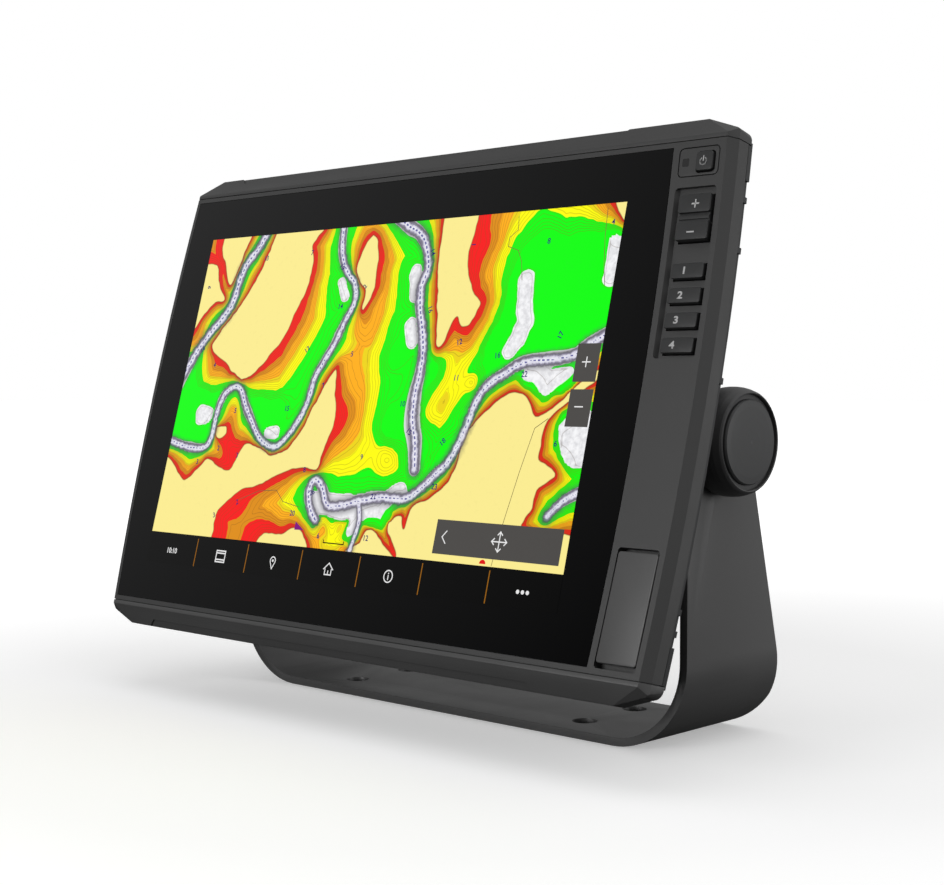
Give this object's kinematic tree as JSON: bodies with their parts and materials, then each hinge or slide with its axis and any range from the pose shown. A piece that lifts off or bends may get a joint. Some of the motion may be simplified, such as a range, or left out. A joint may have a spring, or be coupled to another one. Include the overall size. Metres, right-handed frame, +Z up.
{
  "type": "chartplotter display",
  "caption": "Touchscreen marine chartplotter head with side keypad, card door, trim caps and rear connectors, tilting in a U-shaped bail bracket clamped by two knobs.",
  "frame": {"origin": "centre of the four base holes, on the underside of the bracket's base plate", "axes": "+X to the viewer's right across the face, +Y to the back, +Z up; the face looks along -Y, leaning back 15 degrees at rest"},
  "size_m": [0.3382, 0.1324, 0.2506],
  "materials": {
    "frame": "fine texture, dark grey",
    "trim": "fine texture, dark grey",
    "keys": "smooth, charcoal",
    "glass": "clear cover glass with a black printed border",
    "lens": "smoked lens",
    "lcd": "display panel",
    "lcd_case": "light grey",
    "sheet": "plain sheet",
    "steel": "stainless",
    "brass": "turned",
    "silicone": "silicone",
    "rubber": "black",
    "board": "green laminate",
    "chip": "black",
    "ceramic": "ceramic patch",
    "housing": "powder coated casting",
    "connector": "black",
    "bracket": "powder coated plate, dark grey",
    "friction": "fibre washer",
    "knob": "black, satin",
    "knob_cap": "satin insert"
  },
  "bodies": {
    "bracket": {"bail_bracket": "bracket"},
    "head": {"front_frame": "frame", "top_trim_cap": "trim", "bottom_trim_cap": "trim", "cover_glass": "glass", "lcd_panel": "lcd", "backlight": "lcd_case", "display_chassis": "sheet", "chassis_screws": "steel", "power_panel": "trim", "light_sensor": "lens", "rocker_pin": "steel", "keypad_membrane": "silicone", "key_switches": "lcd_case", "keypad_board": "board", "card_door_pin": "steel", "card_reader": "lcd_case", "housing_gasket": "rubber", "rear_housing": "housing", "housing_screws": "steel", "pivot_inserts": "brass", "main_board": "board", "board_screws": "steel", "processor": "chip", "heat_spreader": "sheet", "power_board": "board", "clock_battery": "steel", "gps_antenna": "ceramic", "power_connector": "connector", "bus_connector": "connector", "network_connectors": "connector", "sonar_connector": "connector", "vent_plug": "rubber", "friction_washers": "friction"},
    "key_1": {"key_1": "keys"},
    "key_2": {"key_2": "keys"},
    "key_3": {"key_3": "keys"},
    "key_4": {"key_4": "keys"},
    "power_key": {"power_key": "keys"},
    "rocker": {"zoom_rocker": "keys"},
    "card_door": {"card_door": "trim", "card_door_seal": "rubber"},
    "washer_right": {"washer_right": "steel"},
    "washer_left": {"washer_left": "steel"},
    "knob_right": {"knob_right": "knob", "knob_stud_right": "steel", "knob_cap_right": "knob_cap"},
    "knob_left": {"knob_left": "knob", "knob_stud_left": "steel", "knob_cap_left": "knob_cap"}
  },
  "joints": [
    {"name": "head_tilt", "type": "hinge", "parent": "bracket", "child": "head", "pos_m": [0, -0.014, 0.1257], "axis": [-1, 0, 0], "range_deg": [-21, 75]},
    {"name": "key_1_press", "type": "slide", "parent": "head", "child": "key_1", "axis": [0, 0.9659, -0.2588], "range_m": [0, 0.0006], "stiffness_N_per_m": 1500, "springref_m": -0.0003},
    {"name": "key_2_press", "type": "slide", "parent": "head", "child": "key_2", "axis": [0, 0.9659, -0.2588], "range_m": [0, 0.0006], "stiffness_N_per_m": 1500, "springref_m": -0.0003},
    {"name": "key_3_press", "type": "slide", "parent": "head", "child": "key_3", "axis": [0, 0.9659, -0.2588], "range_m": [0, 0.0006], "stiffness_N_per_m": 1500, "springref_m": -0.0003},
    {"name": "key_4_press", "type": "slide", "parent": "head", "child": "key_4", "axis": [0, 0.9659, -0.2588], "range_m": [0, 0.0006], "stiffness_N_per_m": 1500, "springref_m": -0.0003},
    {"name": "power_key_press", "type": "slide", "parent": "head", "child": "power_key", "axis": [0, 0.9659, -0.2588], "range_m": [0, 0.0006], "stiffness_N_per_m": 1500, "springref_m": -0.0003},
    {"name": "zoom_rock", "type": "hinge", "parent": "head", "child": "rocker", "pos_m": [0.1527, -0.0489, 0.21027], "axis": [1, 0, 0], "range_deg": [-2.5, 2.5], "stiffness_Nm_per_rad": 0.6},
    {"name": "card_door_hinge", "type": "hinge", "parent": "head", "child": "card_door", "pos_m": [0.15, -0.09358, 0.04816], "axis": [1, 0, 0], "range_deg": [0, 110]},
    {"name": "washer_right_travel", "type": "slide", "parent": "head", "child": "washer_right", "axis": [1, 0, 0], "range_m": [0, 0.00374]},
    {"name": "knob_right_turn", "type": "hinge", "parent": "washer_right", "child": "knob_right", "pos_m": [0.145, -0.014, 0.1257], "axis": [1, 0, 0], "range_deg": [0, 1080]},
    {"name": "washer_left_travel", "type": "slide", "parent": "head", "child": "washer_left", "axis": [-1, 0, 0], "range_m": [0, 0.00374]},
    {"name": "knob_left_turn", "type": "hinge", "parent": "washer_left", "child": "knob_left", "pos_m": [-0.145, -0.014, 0.1257], "axis": [-1, 0, 0], "range_deg": [0, 1080]}
  ],
  "couplings": [
    {"joint": "knob_right_turn", "follows": "washer_right_travel", "rad_per_m": 5026.5},
    {"joint": "knob_left_turn", "follows": "washer_left_travel", "rad_per_m": 5026.5}
  ]
}
